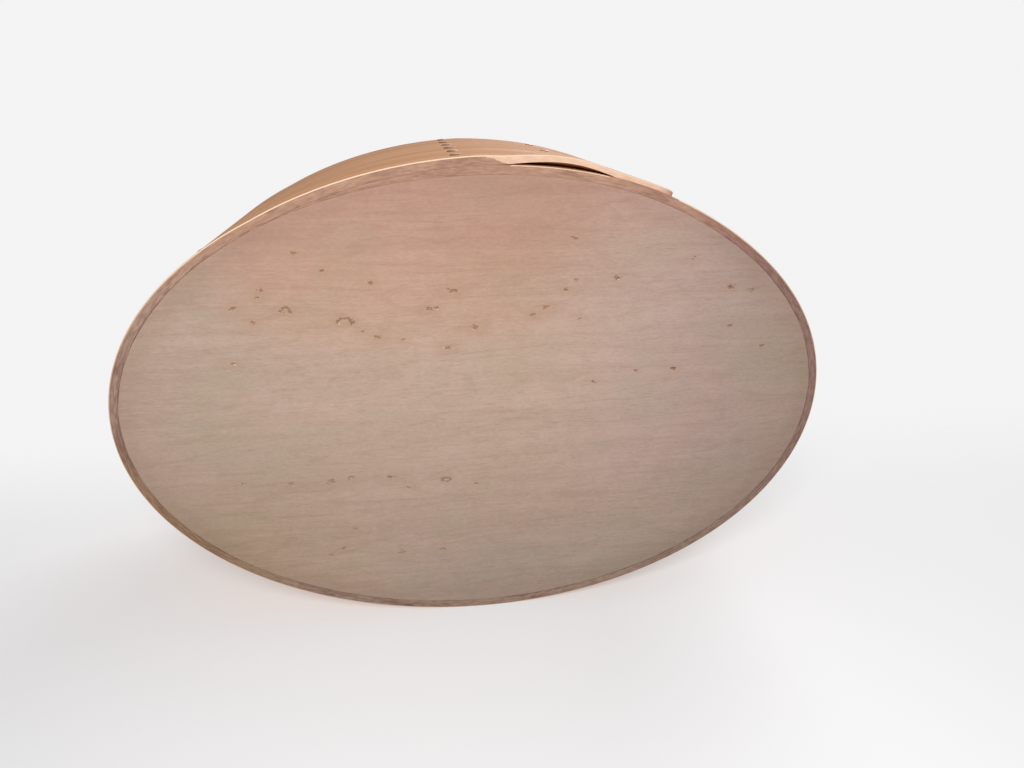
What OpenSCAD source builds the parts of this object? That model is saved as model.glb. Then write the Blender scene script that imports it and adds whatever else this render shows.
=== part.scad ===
// Oval bentwood carrier. One thin band is bent into an oval and lapped on itself with
// tapered fingers, a board is pegged into its base, and a bent hoop is tacked inside.
// The frame: +Z up, +X along the oval, the origin on the resting plane at the oval's centre,
// and the lap on the -Y side with its fingers pointing to +X.

/* [Band] */
// Outside length of the oval
oval_length = 214; // [180:1:260]
// Outside width of the oval, beside the lap
oval_width = 142.5; // [120:0.5:175]
// Height of the band
band_height = 90; // [70:1:120]
// Thickness of the band
band_thickness = 2.6; // [1.8:0.1:3.2]

/* [Lap] */
// Number of fingers
finger_count = 3; // [3:1:5]
// Length of a finger from root to tip, along X
finger_length = 51; // [36:1:56]
// Height of a finger at its tip
tip_height = 12; // [8:0.5:15]
// Length of the rounded end of a finger
tip_round = 6; // [3:0.5:10]
// How far the outermost fingers draw in from the band's edges at their tips
tip_inset = 0.8; // [0.4:0.1:3]
// How late a finger draws in on its way to the tip, where 1 is a straight taper
finger_curve = 1.6; // [1:0.1:2.4]
// Width of the slot at the root between two fingers
root_slot = 3; // [2:0.5:5]
// Distance of the finger roots past the middle of the long side
root_offset = 6; // [3:1:10]
// Length over which the inner end of the band is thinned, along X
feather_length = 50; // [36:1:58]
// Thickness left at the thinned end
feather_edge = 0.4; // [0.3:0.1:0.8]
// Glue line between the two layers of the lap
lap_gap = 0.1; // [0.05:0.05:0.3]

/* [Bottom] */
// Thickness of the bottom board
board_thickness = 6; // [4:0.5:10]
// Gap round the edge of the bottom board
board_fit = 0.1; // [0.05:0.05:0.3]
// Number of wooden pegs round the bottom board
peg_count = 12; // [8:1:16]
// Diameter of a peg
peg_diameter = 1.8; // [1.2:0.1:2.4]
// Length of a peg
peg_length = 11; // [8:0.5:15]

/* [Handle] */
// Height of the top of the hoop above the resting plane
handle_height = 176; // [170:1:220]
// Width of the hoop at its feet
handle_width = 25; // [18:0.5:32]
// Width of the hoop at the grip
grip_width = 20; // [14:0.5:26]
// Thickness of the hoop
handle_thickness = 4; // [3:0.5:6]
// Gap between a leg of the hoop and the band
handle_fit = 0.1; // [0.05:0.05:0.3]

/* [Tacks] */
// Diameter of a tack's head
head_diameter = 4; // [3:0.1:5]
// Height of a tack's head
head_height = 0.4; // [0.3:0.1:1.2]
// Diameter of a tack's shank
shank_diameter = 1.4; // [1:0.1:1.8]
// Length of the point that is bent over inside
clinch_length = 2.6; // [2:0.1:3.5]
// Height of the lowest root tack above the bottom board
low_tack_gap = 1.6; // [1.5:0.1:5]
// Distance of the highest root tack below the rim
high_tack_gap = 5.5; // [3:0.5:9]
// Distance of the root tacks from the middle of the long side, away from the fingers
root_tack_offset = 5.6; // [1:0.1:7]
// Distance of a finger's own tack from the finger roots
finger_tack_offset = 20; // [14:1:28]
// Gap round a tack or a peg in its hole
hole_fit = 0.05; // [0.02:0.01:0.1]

/* [Hidden] */
$fn = 48;

maple = "#d9b98c";
pale_maple = "#dcc3a0";
ash = "#cfa873";
copper = "#7a4a34";
peg_wood = "#b98f5e";

half_length = oval_length / 2;
half_width = oval_width / 2;
facet_angle = 2.5;
cut_margin = 1;
finger_pitch = band_height / finger_count;

// The lap on the front: angles run from 180 to 360 there, and x rises with the angle.
function front_angle(x) = 270 + asin(x / half_length);
root_x = root_offset;
tip_x = root_x + finger_length;
split_x = -root_slot - head_diameter - root_tack_offset;
tip_angle = front_angle(tip_x);
split_angle = front_angle(split_x);
ramp_low = front_angle(split_x - feather_length);
ramp_high = split_angle;
lap_step = band_thickness + lap_gap;
feather_share = (feather_edge + lap_gap) / lap_step;
feather_angle = ramp_low + feather_share * (ramp_high - ramp_low) - 360;

// A point of the oval, moved out by d along the outward normal.
function oval_normal(angle) =
    let (n = [cos(angle) / half_length, sin(angle) / half_width])
    n / norm(n);
function oval_point(angle, d) =
    [half_length * cos(angle), half_width * sin(angle)] + d * oval_normal(angle);

// Angles from one end of a stretch to the other in even steps of about one facet.
function stretch(from, to) =
    let (steps = ceil(abs(to - from) / facet_angle))
    [for (k = [0:steps]) from + (to - from) * k / steps];

// How far the outer layer of the lap is pushed out by the layer inside it.
function ramp(angle) = min(1, max(0, (angle - ramp_low) / (ramp_high - ramp_low)));
function outer_face(angle) =
    angle > ramp_low ? ramp(angle) * lap_step :
    angle > ramp_high - 360 ? 0 :
    ramp(angle + 360) * lap_step - lap_gap - band_thickness;
function inner_face(angle) =
    angle > ramp_low ? outer_face(angle) - band_thickness : -band_thickness;

function face_points(angles, shift) = [
    for (i = [0:len(angles) - 1]) oval_point(angles[i], shift(angles[i]))
];
function reversed(list) = [for (i = [len(list) - 1:-1:0]) list[i]];
function strip_outline(angles) = concat(
    face_points(angles, function(a) outer_face(a)),
    reversed(face_points(angles, function(a) inner_face(a)))
);
function oval_outline(d) = [
    for (angle = [0:facet_angle:360 - facet_angle]) oval_point(angle, d)
];

// The fingers' outline, seen from the front as x and z.
edge_steps = 12;
function draw_in(s) = pow(s, finger_curve);
function tip_middle(i) =
    i == 0 ? tip_inset + tip_height / 2 :
    i == finger_count - 1 ? band_height - tip_inset - tip_height / 2 :
    (i + 0.5) * finger_pitch;
function root_low(i) = i == 0 ? 0 : i * finger_pitch + root_slot / 2;
function root_high(i) =
    i == finger_count - 1 ? band_height : (i + 1) * finger_pitch - root_slot / 2;
function edge_x(s) = root_x + s * (finger_length - tip_round);
function edge_z(i, s, root, side) =
    root + draw_in(s) * (tip_middle(i) + side * tip_height / 2 - root);
function low_edge(i) = [
    for (k = [0:edge_steps]) [edge_x(k / edge_steps), edge_z(i, k / edge_steps, root_low(i), -1)]
];
function high_edge(i) = [
    for (k = [edge_steps:-1:0]) [edge_x(k / edge_steps), edge_z(i, k / edge_steps, root_high(i), 1)]
];
function tip_arc(i) = [
    for (t = [-75:15:75])
        [tip_x - tip_round * (1 - cos(t)), tip_middle(i) + tip_height / 2 * sin(t)]
];
function root_arc(i) = i == finger_count - 1 ? [] : [
    for (t = [-60:30:60])
        [root_x - root_slot / 2 * cos(t), (i + 1) * finger_pitch + root_slot / 2 * sin(t)]
];
comb_outline = concat(
    [[split_x - finger_length, 0]],
    [
        for (i = [0:finger_count - 1])
            for (p = concat(low_edge(i), tip_arc(i), high_edge(i), root_arc(i))) p
    ],
    [[split_x - finger_length, band_height]]
);

// Places of the fastenings.
root_tack_angle = front_angle(-root_tack_offset);
finger_tack_angle = front_angle(root_x + finger_tack_offset);
finger_tack_share = finger_tack_offset / (finger_length - tip_round);
tacks_per_finger = 2;
tack_rows = tacks_per_finger * finger_count;
low_tack = board_thickness + low_tack_gap;
tack_pitch = (band_height - high_tack_gap - low_tack) / (tack_rows - 1);
tack_heights = [for (k = [0:tack_rows - 1]) low_tack + k * tack_pitch];
function root_tack_heights(i) = [
    for (j = [0:tacks_per_finger - 1]) tack_heights[i * tacks_per_finger + j]
];
function finger_tack_height(i) =
    (edge_z(i, finger_tack_share, root_low(i), -1) + edge_z(i, finger_tack_share, root_high(i), 1)) / 2;
back_angle = 90;
head_rim_share = 0.4;
head_crown_share = 0.55;
point_share = 0.5;
handle_reach = handle_fit + handle_thickness;
root_grip = lap_step + band_thickness + handle_reach;
back_grip = band_thickness + handle_reach;
finger_grip = lap_step + band_thickness;

peg_clear_angle = 10;
peg_first = tip_angle - 360 + peg_clear_angle;
peg_last = ramp_low - peg_clear_angle;
peg_angles = [
    for (k = [0:peg_count - 1]) peg_first + (peg_last - peg_first) * k / (peg_count - 1)
];

leg_reach = half_width - band_thickness - handle_fit;
spring_height = handle_height - leg_reach;
grip_share = 0.6;
grip_height = spring_height + leg_reach * grip_share;

// Turns +X to the outward normal at an angle and starts at distance d from the oval.
module along_normal(angle, d, height) {
    p = oval_point(angle, d);
    n = oval_normal(angle);
    translate([p[0], p[1], height]) rotate([0, 0, atan2(n[1], n[0])]) children();
}

// A round hole or pin that runs inwards from distance d.
module inward_pin(angle, d, height, diameter, length) {
    along_normal(angle, d, height) rotate([0, -90, 0]) cylinder(d = diameter, h = length);
}

// A tack with a low domed head, seated at distance d, and its point bent up inside.
module tack(angle, d, height, grip) {
    rim_height = head_height * head_rim_share;
    crown_diameter = head_diameter * head_crown_share;
    bend = grip + hole_fit + shank_diameter / 2;
    inward_pin(angle, d, height, shank_diameter, bend);
    along_normal(angle, d, height) {
        rotate([0, 90, 0]) cylinder(d = head_diameter, h = rim_height);
        translate([rim_height, 0, 0]) rotate([0, 90, 0])
            cylinder(d1 = head_diameter, d2 = crown_diameter, h = head_height - rim_height);
        translate([-bend, 0, 0]) sphere(d = shank_diameter);
        translate([-bend, 0, 0])
            cylinder(d1 = shank_diameter, d2 = shank_diameter * point_share, h = clinch_length);
    }
}

module tack_hole(angle, d, height, grip) {
    inward_pin(angle, d + cut_margin, height, shank_diameter + 2 * hole_fit, grip + 2 * cut_margin);
}

module finger_tacks(i) {
    color(copper) {
        for (z = root_tack_heights(i)) tack(root_tack_angle, lap_step, z, root_grip);
        tack(finger_tack_angle, lap_step, finger_tack_height(i), finger_grip);
    }
}

module handle_holes() {
    for (z = tack_heights) {
        tack_hole(root_tack_angle, lap_step, z, root_grip);
        tack_hole(back_angle, 0, z, back_grip);
    }
}

module peg_holes() {
    for (angle = peg_angles)
        inward_pin(angle, cut_margin, board_thickness / 2, peg_diameter + 2 * hole_fit,
            peg_length + cut_margin);
}

// One strip: three fingers, once round the oval, and a thinned end inside the lap.
module side_band() {
    color(maple) difference() {
        union() {
            linear_extrude(band_height) polygon(strip_outline(stretch(split_angle, feather_angle)));
            intersection() {
                linear_extrude(band_height) polygon(strip_outline(stretch(tip_angle, split_angle)));
                rotate([90, 0, 0]) linear_extrude(oval_width) polygon(comb_outline);
            }
        }
        handle_holes();
        peg_holes();
        for (i = [0:finger_count - 1])
            tack_hole(finger_tack_angle, lap_step, finger_tack_height(i), finger_grip);
    }
}

module bottom_board() {
    color(pale_maple) difference() {
        linear_extrude(board_thickness) polygon(oval_outline(-band_thickness - board_fit));
        peg_holes();
    }
}

// Legs and a half-round arch, as y and z.
module hoop_profile(reach, foot) {
    translate([0, spring_height]) circle(r = reach, $fn = 96);
    translate([-reach, foot]) square([2 * reach, spring_height - foot]);
}

// The hoop's two tapers, seen from the front as x and z.
module hoop_front() {
    polygon([
        [-handle_width / 2, board_thickness], [handle_width / 2, board_thickness],
        [handle_width / 2, band_height], [grip_width / 2, grip_height],
        [grip_width / 2, handle_height + cut_margin], [-grip_width / 2, handle_height + cut_margin],
        [-grip_width / 2, grip_height], [-handle_width / 2, band_height]
    ]);
}

module handle() {
    color(ash) difference() {
        intersection() {
            rotate([90, 0, 90]) linear_extrude(handle_width, center = true) difference() {
                hoop_profile(leg_reach, board_thickness);
                hoop_profile(leg_reach - handle_thickness, board_thickness - cut_margin);
            }
            rotate([90, 0, 0]) linear_extrude(oval_width, center = true) hoop_front();
            linear_extrude(handle_height + cut_margin) polygon(oval_outline(-band_thickness - handle_fit));
        }
        handle_holes();
    }
}

module lower_finger_tacks() finger_tacks(0);
module middle_finger_tacks() for (i = [1:finger_count - 2]) finger_tacks(i);
module upper_finger_tacks() finger_tacks(finger_count - 1);

module handle_tacks() {
    color(copper) for (z = tack_heights) tack(back_angle, 0, z, back_grip);
}

module bottom_pegs() {
    color(peg_wood) for (angle = peg_angles)
        inward_pin(angle, 0, board_thickness / 2, peg_diameter, peg_length);
}

side_band();
bottom_board();
handle();
lower_finger_tacks();
middle_finger_tacks();
upper_finger_tacks();
handle_tacks();
bottom_pegs();
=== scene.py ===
# %% [markdown]
# # An oval bentwood carrier
# One thin strip of maple is bent round an oval board and lapped on itself with tapered fingers.
# Small copper tacks hold the lap and a hoop handle, and wooden pegs hold the board.
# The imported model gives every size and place, and this lesson dresses it in shapes and finishes.

import bpy
import bmesh
import numpy as np
from mathutils import Matrix, Vector


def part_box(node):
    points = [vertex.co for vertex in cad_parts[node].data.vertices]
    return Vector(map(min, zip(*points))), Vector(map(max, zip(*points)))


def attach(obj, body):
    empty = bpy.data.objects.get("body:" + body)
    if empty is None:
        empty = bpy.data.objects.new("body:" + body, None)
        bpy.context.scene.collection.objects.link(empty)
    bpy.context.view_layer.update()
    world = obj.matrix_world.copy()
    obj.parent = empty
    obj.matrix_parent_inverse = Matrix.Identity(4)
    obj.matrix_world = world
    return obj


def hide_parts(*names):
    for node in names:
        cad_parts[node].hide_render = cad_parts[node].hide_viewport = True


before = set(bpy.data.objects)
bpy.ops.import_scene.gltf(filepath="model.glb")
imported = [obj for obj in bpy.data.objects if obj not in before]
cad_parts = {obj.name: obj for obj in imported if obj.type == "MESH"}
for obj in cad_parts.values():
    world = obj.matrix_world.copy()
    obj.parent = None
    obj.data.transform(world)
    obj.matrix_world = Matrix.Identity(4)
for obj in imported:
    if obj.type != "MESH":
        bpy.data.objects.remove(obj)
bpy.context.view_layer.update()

# %% [markdown]
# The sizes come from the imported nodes, so the pieces made here follow them.
# The lap is on the front, at -Y, and its outer layer is pushed out by one thickness and
# a glue line.

# %% Sizes in metres
MM = 0.001
band_low, band_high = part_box("side_band")
_, board_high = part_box("bottom_board")
hoop_low, hoop_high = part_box("handle")
half_length, half_width, band_height = max(band_high[0], -band_low[0]), band_high[1], band_high[2]
board_thickness = board_high[2]
fit = 0.1 * MM
thickness = half_width - board_high[1] - fit
lap_step = -band_low[1] - half_width
print(f"oval {2 * half_length / MM:.1f} x {2 * half_width / MM:.1f} mm,",
      f"band {thickness / MM:.2f} mm thick")

# %% [markdown]
# The photograph looks at the underside while the carrier lies on its plain long side.
# The carrier itself stays upright in its frame, so the camera is the piece that moves:
# it sits below and in front, and its own up direction is the frame's -Y.

# %% Camera
camera_data = bpy.data.cameras.new("photo_camera")
camera_data.lens, camera_data.sensor_width = 27.06, 36.0
camera_data.clip_start, camera_data.clip_end = 0.01, 50.0
camera = bpy.data.objects.new("photo_camera", camera_data)
bpy.context.collection.objects.link(camera)
camera_place = Vector((-0.02035, -0.08900, -0.21508))
camera_right = Vector((0.99071, 0.00461, -0.13591))
camera_up = Vector((0.05200, -0.93632, 0.34727))
camera_back = camera_right.cross(camera_up).normalized()
camera_up = camera_back.cross(camera_right).normalized()
camera_turn = Matrix((camera_right.normalized(), camera_up, camera_back)).transposed()
camera.matrix_world = Matrix.Translation(camera_place) @ camera_turn.to_4x4()
bpy.context.scene.camera = camera
print("camera at", tuple(camera.location))

# %% [markdown]
# Every finish is a tree of nodes. It could be dragged together in the editor, but a written tree
# can be read, repeated and changed. These helpers add a node, fill its inputs and return its
# output, so that one line of code is one step of a pattern.

# %% Node helpers: steps and patterns
def fill(tree, inputs, values):
    """Links each value that is an output socket to its input, and sets any other value there."""
    for key, value in values.items():
        if isinstance(value, bpy.types.NodeSocket):
            tree.links.new(value, inputs[key])
        else:
            inputs[key].default_value = value


def put(tree, kind, values=None, **settings):
    """Adds a node, with its settings and its inputs."""
    node = tree.nodes.new("ShaderNode" + kind)
    for name, value in settings.items():
        setattr(node, name, value)
    fill(tree, node.inputs, values or {})
    return node


def calc(tree, operation, *values):
    """One step of arithmetic on numbers or sockets."""
    return put(tree, "Math", dict(enumerate(values)), operation=operation).outputs[0]


def times(tree, *values):
    """The product of numbers or sockets."""
    product = values[0]
    for value in values[1:]:
        product = calc(tree, "MULTIPLY", product, value)
    return product


def mix_in(tree, value, weight, rest):
    """A value times its weight, and the rest added."""
    return calc(tree, "MULTIPLY_ADD", value, weight, rest)


def calc_vector(tree, operation, *values, output="Vector"):
    """One step of arithmetic on vectors. A length or a distance is the output Value."""
    node = put(tree, "VectorMath", dict(enumerate(values)), operation=operation)
    return node.outputs[output]


def smooth(tree, value, low, high, to_low=0.0, to_high=1.0):
    """A soft step from to_low at low to to_high at high."""
    names = ("Value", "From Min", "From Max", "To Min", "To Max")
    values = dict(zip(names, (value, low, high, to_low, to_high)))
    return put(tree, "MapRange", values, interpolation_type="SMOOTHSTEP").outputs[0]


def noise(tree, vector, stretch, detail=3.0, roughness=0.5, distortion=0.0):
    """Noise from 0 to 1 on coordinates that are stretched axis by axis, in cycles a metre."""
    scaled = put(tree, "Mapping", {"Vector": vector, "Scale": stretch}).outputs[0]
    values = {"Vector": scaled, "Scale": 1.0, "Detail": detail, "Roughness": roughness,
              "Distortion": distortion}
    return put(tree, "TexNoise", values).outputs[0]


def object_place(tree):
    """The place on the object, and its X, Y and Z by name."""
    place = put(tree, "TexCoord").outputs["Object"]
    return place, put(tree, "SeparateXYZ", {0: place}).outputs


def attribute(tree, name, output="Fac"):
    """A piece's own attribute: a number, or a vector from the output Vector."""
    return put(tree, "Attribute", attribute_name=name).outputs[output]


print("steps and patterns ready")

# %% [markdown]
# Old wood takes its colour in layers, so these helpers lay one tint after another, each in its
# own soft region. The last ones start a node group with named sockets, which several finishes
# can share, and a material with its shader.

# %% Node helpers: colours, groups and materials
def colour(r, g, b):
    """A linear colour with full alpha."""
    return (r, g, b, 1.0)


def blend_colour(tree, share, first, second, mode="MIX"):
    """Two colours mixed by a share."""
    node = put(tree, "Mix", {0: share, 6: first, 7: second}, data_type="RGBA", blend_type=mode)
    return node.outputs[2]


def coat(tree, start, coats, mode="MIX"):
    """A colour that takes one tint after another, each where its own share lies."""
    for share, tint in coats:
        start = blend_colour(tree, share, start, colour(*tint), mode)
    return start


def region(tree, parts, **axes):
    """A soft region: along each axis a step from 0 at one place to 1 at the next, in millimetres.
    Two more places take it back from 1 to 0. The steps are multiplied."""
    share = 1.0
    for axis, places in axes.items():
        for low, high in filter(None, (places[:2], places[:1:-1])):
            share = times(tree, share, smooth(tree, parts[axis], low * MM, high * MM))
    return share


def bumped(tree, height, strength, distance):
    """A normal that is tilted by the slope of a height pattern."""
    values = {"Strength": strength, "Distance": distance, "Height": height}
    return put(tree, "Bump", values).outputs[0]


def start_group(name, inputs, outputs):
    """An empty shader group with named sockets: F is a number, V a vector."""
    kinds = {"F": "NodeSocketFloat", "V": "NodeSocketVector"}
    group = bpy.data.node_groups.new(name, "ShaderNodeTree")
    for direction, sockets in (("INPUT", inputs), ("OUTPUT", outputs)):
        for socket, kind in sockets.items():
            group.interface.new_socket(socket, in_out=direction, socket_type=kinds[kind])
    given = group.nodes.new("NodeGroupInput").outputs
    return group, given, group.nodes.new("NodeGroupOutput").inputs


def use_group(tree, group, **values):
    """Places a group in a material and returns its outputs."""
    node = put(tree, "Group", node_tree=group)
    fill(tree, node.inputs, values)
    return node.outputs


def start_material(name):
    """A material with its Principled shader, and the tree that feeds it."""
    material = bpy.data.materials.new(name)
    material.use_nodes = True
    return material, material.node_tree, material.node_tree.nodes["Principled BSDF"].inputs


print("colours, groups and materials ready")

# %% [markdown]
# The stage is a pale floor under the upright carrier, and a second pale sheet along the long side
# that it lies on in the photograph. Each shows only to the camera and only on its front face,
# so neither hides the carrier from the other side. Above the floor's level the sheet shows only
# through the floor's clear back. Both dissolve into the pale surroundings further out.

# %% Floor and sheet
STAGE_REACH, FADE_NEAR, FADE_FAR = 3.0, 0.35, 1.3
SHEET_FULL, SHEET_GONE = 0.04, 0.16
PAPER_LIFT = 0.34


def stage_material(name, through_floor):
    """Pale matt paint for camera rays on the front face, and nothing at all for other rays."""
    material, tree, _ = start_material(name)
    tree.nodes.remove(tree.nodes["Principled BSDF"])
    path = put(tree, "LightPath").outputs
    front = calc(tree, "SUBTRACT", 1.0, put(tree, "NewGeometry").outputs["Backfacing"])
    share = times(tree, path["Is Camera Ray"], front)
    place, parts = object_place(tree)
    if through_floor:
        below = calc(tree, "LESS_THAN", parts["Z"], 0.0)
        seen = calc(tree, "MAXIMUM", below, path["Transparent Depth"])
        share = times(tree, share, calc(tree, "MINIMUM", seen, 1.0),
                      smooth(tree, parts["Z"], SHEET_FULL, SHEET_GONE, 1.0, 0.0))
    away = calc_vector(tree, "LENGTH", place, output="Value")
    share = times(tree, share, smooth(tree, away, FADE_NEAR, FADE_FAR, 1.0, 0.0))
    paint = put(tree, "BsdfDiffuse", {"Color": colour(0.55, 0.55, 0.56)}).outputs[0]
    lift = put(tree, "Emission", {"Color": colour(1, 1, 1), "Strength": PAPER_LIFT}).outputs[0]
    paper = put(tree, "AddShader", {0: paint, 1: lift}).outputs[0]
    clear = put(tree, "BsdfTransparent").outputs[0]
    mixed = put(tree, "MixShader", {0: share, 1: clear, 2: paper}).outputs[0]
    tree.links.new(mixed, tree.nodes["Material Output"].inputs["Surface"])
    return material


def stage_sheet(name, corners, through_floor=False):
    """One square of the stage from its four corners, counter-clockwise seen from its front."""
    mesh = bpy.data.meshes.new(name)
    mesh.from_pydata(corners, [], [(0, 1, 2, 3)])
    sheet = bpy.data.objects.new(name, mesh)
    bpy.context.collection.objects.link(sheet)
    mesh.materials.append(stage_material(name, through_floor))


far, side = STAGE_REACH, half_width
stage_sheet("floor", [(-far, -far, 0), (far, -far, 0), (far, far, 0), (-far, far, 0)])
stage_sheet("side_sheet", [(-far, side, -far), (far, side, -far),
                           (far, side, far), (-far, side, far)], True)
print("stage ready")

# %% [markdown]
# Plain soft light: an even world, a key that comes from above the photograph's camera,
# and two soft lamps, above the upright carrier and behind it, for the other views.
# Together they light a surface to about its own written colour.

# %% Light
world = bpy.data.worlds.new("studio")
bpy.context.scene.world = world
world.use_nodes = True
tree = world.node_tree
path = put(tree, "LightPath").outputs
shown = calc(tree, "MAXIMUM", path["Is Camera Ray"],
             calc(tree, "MAXIMUM", path["Is Glossy Ray"], path["Is Transmission Ray"]))
AMBIENT, BACKDROP = 0.32, 0.90
strength = put(tree, "MapRange", {"Value": shown, "To Min": AMBIENT, "To Max": BACKDROP}).outputs[0]
fill(tree, tree.nodes["Background"].inputs, {"Strength": strength, "Color": colour(1, 1, 1)})


def soft_lamp(name, place, target, size, power):
    """A square lamp at a place, turned to a target."""
    data = bpy.data.lights.new(name, "AREA")
    data.size, data.energy = size, power
    lamp = bpy.data.objects.new(name, data)
    lamp.location = place
    lamp.rotation_euler = (Vector(target) - Vector(place)).to_track_quat("-Z", "Y").to_euler()
    bpy.context.collection.objects.link(lamp)


soft_lamp("photo_key", (-0.05, -0.17, -0.27), (0, 0, 0), 0.10, 0.87)
soft_lamp("overhead", (0.45, -0.45, 0.70), (0, 0, 0.08), 0.60, 6.5)
soft_lamp("rear_fill", (-0.50, 0.75, 0.45), (0, 0, 0.08), 0.60, 4.5)
bpy.context.scene.view_settings.view_transform = "Standard"

# %% [markdown]
# Every piece is a grid of points worked out as whole arrays. These helpers turn such grids into
# faces and meshes, and give the mesh the attributes that its finish reads.

# %% Mesh helpers
def grid_faces(rows, columns, start=0, closed=False):
    """Quads between neighbouring rows and columns of a grid that is stored row by row."""
    row = np.arange(rows - 1)[:, None]
    column = np.arange(columns if closed else columns - 1)[None, :]
    after = (column + 1) % columns
    corners = (row * columns + column, row * columns + after,
               (row + 1) * columns + after, (row + 1) * columns + column)
    return start + np.stack(corners, axis=-1).reshape(-1, 4)


def tube_faces(rows, columns, start=0):
    """Faces of a closed tube that is stored ring by ring: quads round it and a face at each end."""
    ends = (start, start + (rows - 1) * columns)
    caps = [list(range(first, first + columns)) for first in ends]
    return grid_faces(rows, columns, start, closed=True).tolist() + caps


SHARP, DOUBLES = np.radians(40), 1e-7


def make_piece(name, points, faces, materials, node, attributes=None, face_material=None):
    """Puts points and faces into a mesh, merges doubles, turns it outwards and seats the piece."""
    mesh = bpy.data.meshes.new(name)
    mesh.from_pydata(points.tolist(), [], faces)
    for attribute, values in (attributes or {}).items():
        kind, field = ("FLOAT_VECTOR", "vector") if values.ndim == 2 else ("FLOAT", "value")
        mesh.attributes.new(attribute, kind, "POINT").data.foreach_set(field, values.ravel())
    for material in materials:
        mesh.materials.append(material)
    if face_material is not None:
        mesh.polygons.foreach_set("material_index", face_material)
    work = bmesh.new()
    work.from_mesh(mesh)
    bmesh.ops.remove_doubles(work, verts=work.verts, dist=DOUBLES)
    bmesh.ops.recalc_face_normals(work, faces=work.faces)
    open_edges = sum(not e.is_manifold for e in work.edges)
    work.to_mesh(mesh)
    work.free()
    mesh.shade_smooth()
    mesh.set_sharp_from_angle(angle=SHARP)
    piece = bpy.data.objects.new(name, mesh)
    bpy.context.collection.objects.link(piece)
    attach(piece, "root")
    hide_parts(node)
    print(name, len(mesh.vertices), "points,", len(mesh.polygons), "faces,",
          open_edges, "open edges")


def roll(distance, radius):
    """How far a rounded edge drops at a distance from it: a quarter circle of the radius."""
    inside = radius - np.minimum(distance, radius)
    return radius - np.sqrt(np.maximum(radius ** 2 - inside ** 2, 0.0))


def step(value, low, high):
    """A soft step from 0 at low to 1 at high."""
    t = np.clip((value - low) / (high - low), 0.0, 1.0)
    return t * t * (3 - 2 * t)


def uneven(ring, order, waves):
    """A hand-made outline: 1 and a few low waves round it, each turned further piece by piece."""
    return sum((size * np.cos(count * ring + turn * order) for count, size, turn in waves), 1.0)


print("mesh helpers ready")

# %% [markdown]
# Wood has broad streaks, fine lines, short dashes and pores, all drawn out along the grain.
# One group makes them on coordinates whose X runs along the grain, so the board, the band and
# the handle can share it with their own coordinates.

# %% Group: grain
tree, given, result = start_group("long grain", {"Vector": "V"},
                                  {"Streak": "F", "Line": "F", "Dash": "F", "Pore": "F"})
wander = noise(tree, given["Vector"], (9, 30, 30), 2.0)
sway = mix_in(tree, wander, 8 * MM, -4 * MM)
shift = put(tree, "CombineXYZ", {"Y": sway, "Z": sway}).outputs[0]
waved = calc_vector(tree, "ADD", given["Vector"], shift)
streak = noise(tree, waved, (7, 140, 140), 4.0, 0.55)
line = noise(tree, waved, (16, 820, 820), 3.0, 0.55)
dash = noise(tree, waved, (240, 2600, 2600), 2.0)
pore = noise(tree, waved, (260, 2300, 2300), 1.0)
fill(tree, result, {
    "Streak": smooth(tree, streak, 0.3, 0.7), "Line": smooth(tree, line, 0.32, 0.68),
    "Dash": smooth(tree, dash, 0.58, 0.74), "Pore": smooth(tree, pore, 0.68, 0.8)})
grain_group = tree
print("group", grain_group.name)

# %% [markdown]
# Maple is never one colour: soft pink and grey patches a few centimetres wide lie over it.

# %% Group: mottle
tree, given, result = start_group("mottle", {"Vector": "V"}, {"Warm": "F", "Grey": "F"})
warm = noise(tree, given["Vector"], (22, 40, 40), 3.0, 0.5, 0.4)
grey = noise(tree, given["Vector"], (31, 52, 47), 3.0, 0.5, 0.6)
fill(tree, result, {"Warm": smooth(tree, warm, 0.36, 0.66), "Grey": smooth(tree, grey, 0.42, 0.7)})
mottle_group = tree
print("group", mottle_group.name)

# %% [markdown]
# The small eyes of this maple are shallow dimples. They could be scattered at random, but the
# real ones lie in loose rows. So their places and radii, in millimetres, are listed one by one.

# %% Places of the eyes
EYES = ((-51, -49, 0.8), (-44, -44, 0.6), (-61, -39, 0.9), (-62, -37, 0.7), (-31, -40, 0.9),
        (-8, -37, 1.3), (-15, -32, 0.9), (-13, -32, 0.6),
        (-64, -30, 0.8), (-34, -26, 0.7), (-30, -24, 1.1), (-23, -23, 0.7), (-2, -26, 1.1),
        (-10, -20, 1.0), (-71, -18, 0.8), (-69, -34, 0.9), (40, -39, 1.2), (27, -51, 0.9),
        (63, -44, 0.8), (75, -35, 1.3), (82, -34, 1.0), (28, -39, 0.7), (25, -36, 0.7),
        (19, -31, 0.9), (15, -29, 0.8), (29, -27, 0.7), (76, -23, 0.7), (87, -16, 0.9),
        (59, -10, 1.1), (34, -7, 0.8), (47, -10, 0.6), (-73, 20, 0.9), (-59, 21, 1.1),
        (-47, 21, 1.2), (-41, 20, 1.0), (-29, 21, 1.2), (-24, 25, 0.8),
        (-3, 25, 0.8), (-41, 38, 1.0), (-49, 47, 0.9), (-45, 45, 0.7), (-27, 48, 1.1),
        (-14, 48, 0.9))
RINGS = ((-55, -33, 1.3), (-39, -29, 2.0), (-12, 23, 1.2))
print(len(EYES), "eyes and", len(RINGS), "arcs")
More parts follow.
